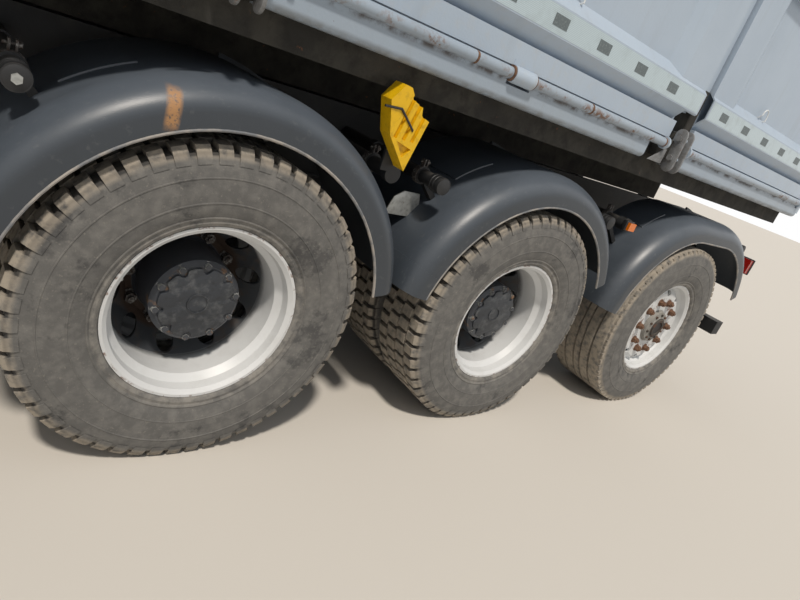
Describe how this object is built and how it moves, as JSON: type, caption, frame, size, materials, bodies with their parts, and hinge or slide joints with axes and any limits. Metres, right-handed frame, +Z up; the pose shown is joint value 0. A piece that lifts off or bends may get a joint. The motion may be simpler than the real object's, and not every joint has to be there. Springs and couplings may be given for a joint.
{
  "type": "four-axle tipper truck with drop sides",
  "caption": "Tipper truck with a short cab, twin drive wheels, a steered trailing axle and a tipping body with fold-down drop sides.",
  "frame": {"origin": "on the ground below the middle of the bounding box", "axes": "+X to the truck's front, +Y to its left, +Z up"},
  "size_m": [8.6, 2.98, 2.8998],
  "materials": {
    "chassis_paint": "dark grey chassis paint, dusty",
    "cast": "dusty cast iron",
    "tank_alloy": "brushed aluminium",
    "guard_plastic": "weathered dark blue-grey plastic",
    "chock_yellow": "yellow plastic",
    "lamp": "lamp lenses",
    "tyre": "dusty rubber",
    "rim_white": "silver-white paint with dirt and rust",
    "body_paint": "light blue-grey paint",
    "cab_paint": "light blue-grey paint",
    "glass": "clear glass",
    "trim": "black plastic",
    "chrome": "chromed piston"
  },
  "bodies": {
    "chassis": {"frame_rails": "chassis_paint", "tipping_subframe": "chassis_paint", "engine_and_radiator": "cast", "steered_axles": "chassis_paint", "drive_axles": "chassis_paint", "drive_shafts": "chassis_paint", "fuel_tank": "tank_alloy", "battery_box_and_air_tanks": "chassis_paint", "exhaust": "tank_alloy", "rear_mudguards": "guard_plastic", "mudguard_arms": "guard_plastic", "wheel_chocks": "chock_yellow", "lamps": "lamp", "underrun_bar": "chassis_paint", "tow_coupling": "cast", "front_bumper": "guard_plastic", "front_mudguards": "guard_plastic"},
    "cab": {"cab_shell": "cab_paint", "cab_glass": "glass", "grille": "trim", "cab_interior": "trim", "mirrors": "trim"},
    "body": {"body_floor": "body_paint", "body_sills": "body_paint", "body_walls": "body_paint"},
    "tailgate": {"tailgate": "body_paint"},
    "cylinder_tube": {"tip_cylinder_tube": "chassis_paint"},
    "door_left": {"door_left": "cab_paint", "door_glass_left": "glass"},
    "front_knuckle_left": {"front_knuckle_left": "cast"},
    "front_wheel_left": {"front_wheel_left": "rim_white", "front_tyre_left": "tyre"},
    "trailing_knuckle_left": {"trailing_knuckle_left": "cast"},
    "trailing_wheel_left": {"trailing_wheel_left": "rim_white", "trailing_tyre_left": "tyre"},
    "drive_wheel_left_1": {"drive_wheel_left_1": "rim_white", "drive_tyres_left_1": "tyre"},
    "drive_wheel_left_2": {"drive_wheel_left_2": "rim_white", "drive_tyres_left_2": "tyre"},
    "drop_side_left_rear": {"drop_side_left_rear": "body_paint"},
    "drop_side_left_middle": {"drop_side_left_middle": "body_paint"},
    "drop_side_left_front": {"drop_side_left_front": "body_paint"},
    "door_right": {"door_right": "cab_paint", "door_glass_right": "glass"},
    "front_knuckle_right": {"front_knuckle_right": "cast"},
    "front_wheel_right": {"front_wheel_right": "rim_white", "front_tyre_right": "tyre"},
    "trailing_knuckle_right": {"trailing_knuckle_right": "cast"},
    "trailing_wheel_right": {"trailing_wheel_right": "rim_white", "trailing_tyre_right": "tyre"},
    "drive_wheel_right_1": {"drive_wheel_right_1": "rim_white", "drive_tyres_right_1": "tyre"},
    "drive_wheel_right_2": {"drive_wheel_right_2": "rim_white", "drive_tyres_right_2": "tyre"},
    "drop_side_right_rear": {"drop_side_right_rear": "body_paint"},
    "drop_side_right_middle": {"drop_side_right_middle": "body_paint"},
    "drop_side_right_front": {"drop_side_right_front": "body_paint"},
    "cylinder_stage_1": {"tip_cylinder_stage_1": "chrome"},
    "cylinder_stage_2": {"tip_cylinder_stage_2": "chrome"},
    "cylinder_stage_3": {"tip_cylinder_stage_3": "chrome"}
  },
  "joints": [
    {"name": "cab_tilt", "type": "hinge", "parent": "chassis", "child": "cab", "pos_m": [4.19, 0, 0.7], "axis": [0, 1, 0], "range_deg": [0, 55]},
    {"name": "door_left_hinge", "type": "hinge", "parent": "cab", "child": "door_left", "pos_m": [4.053, 1.166, 1.41], "axis": [0, 0, -1], "range_deg": [0, 70]},
    {"name": "front_steer_left", "type": "hinge", "parent": "chassis", "child": "front_knuckle_left", "pos_m": [2.85, 0.9, 0.534], "axis": [0, 0, 1], "range_deg": [-35, 35]},
    {"name": "front_spin_left", "type": "hinge", "parent": "front_knuckle_left", "child": "front_wheel_left", "pos_m": [2.85, 1.082, 0.534], "axis": [0, 1, 0], "continuous": true},
    {"name": "trailing_steer_left", "type": "hinge", "parent": "chassis", "child": "trailing_knuckle_left", "pos_m": [-3.195, 0.9, 0.534], "axis": [0, 0, 1], "range_deg": [-15, 15]},
    {"name": "trailing_spin_left", "type": "hinge", "parent": "trailing_knuckle_left", "child": "trailing_wheel_left", "pos_m": [-3.195, 1.082, 0.534], "axis": [0, 1, 0], "continuous": true},
    {"name": "drive_spin_left_1", "type": "hinge", "parent": "chassis", "child": "drive_wheel_left_1", "pos_m": [-0.35, 0.919, 0.534], "axis": [0, 1, 0], "continuous": true},
    {"name": "drive_spin_left_2", "type": "hinge", "parent": "chassis", "child": "drive_wheel_left_2", "pos_m": [-1.77, 0.919, 0.534], "axis": [0, 1, 0], "continuous": true},
    {"name": "drop_side_left_rear_hinge", "type": "hinge", "parent": "body", "child": "drop_side_left_rear", "pos_m": [-3.337, 1.24, 1.517], "axis": [-1, 0, 0], "range_deg": [0, 165]},
    {"name": "drop_side_left_middle_hinge", "type": "hinge", "parent": "body", "child": "drop_side_left_middle", "pos_m": [-1.365, 1.24, 1.517], "axis": [-1, 0, 0], "range_deg": [0, 165]},
    {"name": "drop_side_left_front_hinge", "type": "hinge", "parent": "body", "child": "drop_side_left_front", "pos_m": [0.843, 1.24, 1.517], "axis": [-1, 0, 0], "range_deg": [0, 165]},
    {"name": "door_right_hinge", "type": "hinge", "parent": "cab", "child": "door_right", "pos_m": [4.053, -1.166, 1.41], "axis": [0, 0, 1], "range_deg": [0, 70]},
    {"name": "front_steer_right", "type": "hinge", "parent": "chassis", "child": "front_knuckle_right", "pos_m": [2.85, -0.9, 0.534], "axis": [0, 0, 1], "range_deg": [-35, 35]},
    {"name": "front_spin_right", "type": "hinge", "parent": "front_knuckle_right", "child": "front_wheel_right", "pos_m": [2.85, -1.082, 0.534], "axis": [0, 1, 0], "continuous": true},
    {"name": "trailing_steer_right", "type": "hinge", "parent": "chassis", "child": "trailing_knuckle_right", "pos_m": [-3.195, -0.9, 0.534], "axis": [0, 0, 1], "range_deg": [-15, 15]},
    {"name": "trailing_spin_right", "type": "hinge", "parent": "trailing_knuckle_right", "child": "trailing_wheel_right", "pos_m": [-3.195, -1.082, 0.534], "axis": [0, 1, 0], "continuous": true},
    {"name": "drive_spin_right_1", "type": "hinge", "parent": "chassis", "child": "drive_wheel_right_1", "pos_m": [-0.35, -0.919, 0.534], "axis": [0, 1, 0], "continuous": true},
    {"name": "drive_spin_right_2", "type": "hinge", "parent": "chassis", "child": "drive_wheel_right_2", "pos_m": [-1.77, -0.919, 0.534], "axis": [0, 1, 0], "continuous": true},
    {"name": "drop_side_right_rear_hinge", "type": "hinge", "parent": "body", "child": "drop_side_right_rear", "pos_m": [-3.337, -1.24, 1.517], "axis": [1, 0, 0], "range_deg": [0, 165]},
    {"name": "drop_side_right_middle_hinge", "type": "hinge", "parent": "body", "child": "drop_side_right_middle", "pos_m": [-1.365, -1.24, 1.517], "axis": [1, 0, 0], "range_deg": [0, 165]},
    {"name": "drop_side_right_front_hinge", "type": "hinge", "parent": "body", "child": "drop_side_right_front", "pos_m": [0.843, -1.24, 1.517], "axis": [1, 0, 0], "range_deg": [0, 165]},
    {"name": "body_tip", "type": "hinge", "parent": "chassis", "child": "body", "pos_m": [-3.97, 0, 1.23], "axis": [0, -1, 0], "range_deg": [0, 45]},
    {"name": "tailgate_hinge", "type": "hinge", "parent": "body", "child": "tailgate", "pos_m": [-4.262, 0, 2.44], "axis": [0, 1, 0], "range_deg": [0, 75]},
    {"name": "cylinder_swing", "type": "hinge", "parent": "chassis", "child": "cylinder_tube", "pos_m": [-1.37, 0, 1.15], "axis": [0, -1, 0], "range_deg": [0, 24]},
    {"name": "stage_1_slide", "type": "slide", "parent": "cylinder_tube", "child": "cylinder_stage_1", "axis": [0, 0, 1], "range_m": [0, 0.66]},
    {"name": "stage_2_slide", "type": "slide", "parent": "cylinder_stage_1", "child": "cylinder_stage_2", "axis": [0, 0, 1], "range_m": [0, 0.66]},
    {"name": "stage_3_slide", "type": "slide", "parent": "cylinder_stage_2", "child": "cylinder_stage_3", "axis": [0, 0, 1], "range_m": [0, 0.66]}
  ],
  "couplings": [
    {"joint": "front_steer_right", "follows": "front_steer_left", "ratio": 1},
    {"joint": "trailing_steer_right", "follows": "trailing_steer_left", "ratio": 1},
    {"joint": "cylinder_swing", "follows": "body_tip", "ratio": 0.532},
    {"joint": "stage_1_slide", "follows": "body_tip", "m_per_rad": 0.8349},
    {"joint": "stage_2_slide", "follows": "body_tip", "m_per_rad": 0.8349},
    {"joint": "stage_3_slide", "follows": "body_tip", "m_per_rad": 0.8349}
  ]
}
